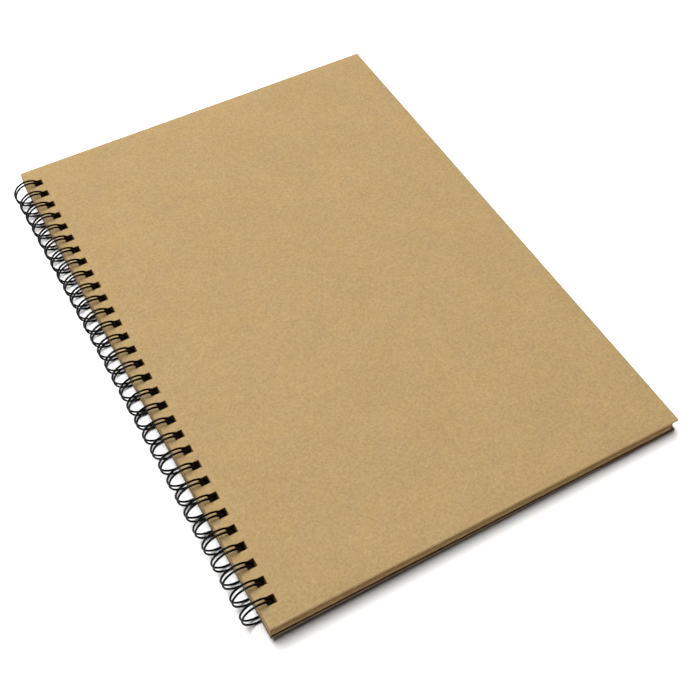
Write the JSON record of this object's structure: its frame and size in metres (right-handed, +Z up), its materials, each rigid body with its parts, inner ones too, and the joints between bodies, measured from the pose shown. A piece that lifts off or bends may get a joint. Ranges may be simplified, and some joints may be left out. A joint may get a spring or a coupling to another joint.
{
  "type": "wire-bound sketchbook",
  "caption": "Closed sketchbook with a kraft front cover, a grey-brown back board and kraft sheets, bound along the long side by a black twin-loop wire, lying flat.",
  "frame": {"origin": "middle of the bounding box's underside, on the floor that the closed book lies on", "axes": "+Z up; +X from the spine to the fore edge; +Y along the spine from the tail edge to the head edge"},
  "size_m": [0.1994, 0.275, 0.0148],
  "materials": {
    "board": "matt kraft board with fine fibres",
    "backing": "matt grey-brown chipboard with fine fibres",
    "sheet": "matt kraft drawing paper",
    "wire": "black nylon-coated steel, semi-gloss"
  },
  "bodies": {
    "base": {"back_cover": "backing", "wire_binding": "wire"},
    "sheet_24": {"sheet_24": "sheet"},
    "sheet_23": {"sheet_23": "sheet"},
    "sheet_22": {"sheet_22": "sheet"},
    "sheet_21": {"sheet_21": "sheet"},
    "sheet_20": {"sheet_20": "sheet"},
    "sheet_19": {"sheet_19": "sheet"},
    "sheet_18": {"sheet_18": "sheet"},
    "sheet_17": {"sheet_17": "sheet"},
    "sheet_16": {"sheet_16": "sheet"},
    "sheet_15": {"sheet_15": "sheet"},
    "sheet_14": {"sheet_14": "sheet"},
    "sheet_13": {"sheet_13": "sheet"},
    "sheet_12": {"sheet_12": "sheet"},
    "sheet_11": {"sheet_11": "sheet"},
    "sheet_10": {"sheet_10": "sheet"},
    "sheet_09": {"sheet_09": "sheet"},
    "sheet_08": {"sheet_08": "sheet"},
    "sheet_07": {"sheet_07": "sheet"},
    "sheet_06": {"sheet_06": "sheet"},
    "sheet_05": {"sheet_05": "sheet"},
    "sheet_04": {"sheet_04": "sheet"},
    "sheet_03": {"sheet_03": "sheet"},
    "sheet_02": {"sheet_02": "sheet"},
    "sheet_01": {"sheet_01": "sheet"},
    "front_cover": {"front_cover": "board"}
  },
  "joints": [
    {"name": "sheet_24_turn", "type": "hinge", "parent": "base", "child": "sheet_24", "pos_m": [-0.09232, 0, 0.0074], "axis": [0, -1, 0], "range_deg": [0, 180]},
    {"name": "sheet_23_turn", "type": "hinge", "parent": "sheet_24", "child": "sheet_23", "pos_m": [-0.09232, 0, 0.0074], "axis": [0, -1, 0], "range_deg": [0, 180]},
    {"name": "sheet_22_turn", "type": "hinge", "parent": "sheet_23", "child": "sheet_22", "pos_m": [-0.09232, 0, 0.0074], "axis": [0, -1, 0], "range_deg": [0, 180]},
    {"name": "sheet_21_turn", "type": "hinge", "parent": "sheet_22", "child": "sheet_21", "pos_m": [-0.09232, 0, 0.0074], "axis": [0, -1, 0], "range_deg": [0, 180]},
    {"name": "sheet_20_turn", "type": "hinge", "parent": "sheet_21", "child": "sheet_20", "pos_m": [-0.09232, 0, 0.0074], "axis": [0, -1, 0], "range_deg": [0, 180]},
    {"name": "sheet_19_turn", "type": "hinge", "parent": "sheet_20", "child": "sheet_19", "pos_m": [-0.09232, 0, 0.0074], "axis": [0, -1, 0], "range_deg": [0, 180]},
    {"name": "sheet_18_turn", "type": "hinge", "parent": "sheet_19", "child": "sheet_18", "pos_m": [-0.09232, 0, 0.0074], "axis": [0, -1, 0], "range_deg": [0, 180]},
    {"name": "sheet_17_turn", "type": "hinge", "parent": "sheet_18", "child": "sheet_17", "pos_m": [-0.09232, 0, 0.0074], "axis": [0, -1, 0], "range_deg": [0, 180]},
    {"name": "sheet_16_turn", "type": "hinge", "parent": "sheet_17", "child": "sheet_16", "pos_m": [-0.09232, 0, 0.0074], "axis": [0, -1, 0], "range_deg": [0, 180]},
    {"name": "sheet_15_turn", "type": "hinge", "parent": "sheet_16", "child": "sheet_15", "pos_m": [-0.09232, 0, 0.0074], "axis": [0, -1, 0], "range_deg": [0, 180]},
    {"name": "sheet_14_turn", "type": "hinge", "parent": "sheet_15", "child": "sheet_14", "pos_m": [-0.09232, 0, 0.0074], "axis": [0, -1, 0], "range_deg": [0, 180]},
    {"name": "sheet_13_turn", "type": "hinge", "parent": "sheet_14", "child": "sheet_13", "pos_m": [-0.09232, 0, 0.0074], "axis": [0, -1, 0], "range_deg": [0, 180]},
    {"name": "sheet_12_turn", "type": "hinge", "parent": "sheet_13", "child": "sheet_12", "pos_m": [-0.09232, 0, 0.0074], "axis": [0, -1, 0], "range_deg": [0, 180]},
    {"name": "sheet_11_turn", "type": "hinge", "parent": "sheet_12", "child": "sheet_11", "pos_m": [-0.09232, 0, 0.0074], "axis": [0, -1, 0], "range_deg": [0, 180]},
    {"name": "sheet_10_turn", "type": "hinge", "parent": "sheet_11", "child": "sheet_10", "pos_m": [-0.09232, 0, 0.0074], "axis": [0, -1, 0], "range_deg": [0, 180]},
    {"name": "sheet_09_turn", "type": "hinge", "parent": "sheet_10", "child": "sheet_09", "pos_m": [-0.09232, 0, 0.0074], "axis": [0, -1, 0], "range_deg": [0, 180]},
    {"name": "sheet_08_turn", "type": "hinge", "parent": "sheet_09", "child": "sheet_08", "pos_m": [-0.09232, 0, 0.0074], "axis": [0, -1, 0], "range_deg": [0, 180]},
    {"name": "sheet_07_turn", "type": "hinge", "parent": "sheet_08", "child": "sheet_07", "pos_m": [-0.09232, 0, 0.0074], "axis": [0, -1, 0], "range_deg": [0, 180]},
    {"name": "sheet_06_turn", "type": "hinge", "parent": "sheet_07", "child": "sheet_06", "pos_m": [-0.09232, 0, 0.0074], "axis": [0, -1, 0], "range_deg": [0, 180]},
    {"name": "sheet_05_turn", "type": "hinge", "parent": "sheet_06", "child": "sheet_05", "pos_m": [-0.09232, 0, 0.0074], "axis": [0, -1, 0], "range_deg": [0, 180]},
    {"name": "sheet_04_turn", "type": "hinge", "parent": "sheet_05", "child": "sheet_04", "pos_m": [-0.09232, 0, 0.0074], "axis": [0, -1, 0], "range_deg": [0, 180]},
    {"name": "sheet_03_turn", "type": "hinge", "parent": "sheet_04", "child": "sheet_03", "pos_m": [-0.09232, 0, 0.0074], "axis": [0, -1, 0], "range_deg": [0, 180]},
    {"name": "sheet_02_turn", "type": "hinge", "parent": "sheet_03", "child": "sheet_02", "pos_m": [-0.09232, 0, 0.0074], "axis": [0, -1, 0], "range_deg": [0, 180]},
    {"name": "sheet_01_turn", "type": "hinge", "parent": "sheet_02", "child": "sheet_01", "pos_m": [-0.09232, 0, 0.0074], "axis": [0, -1, 0], "range_deg": [0, 180]},
    {"name": "front_cover_turn", "type": "hinge", "parent": "sheet_01", "child": "front_cover", "pos_m": [-0.09232, 0, 0.0074], "axis": [0, -1, 0], "range_deg": [0, 180]}
  ]
}
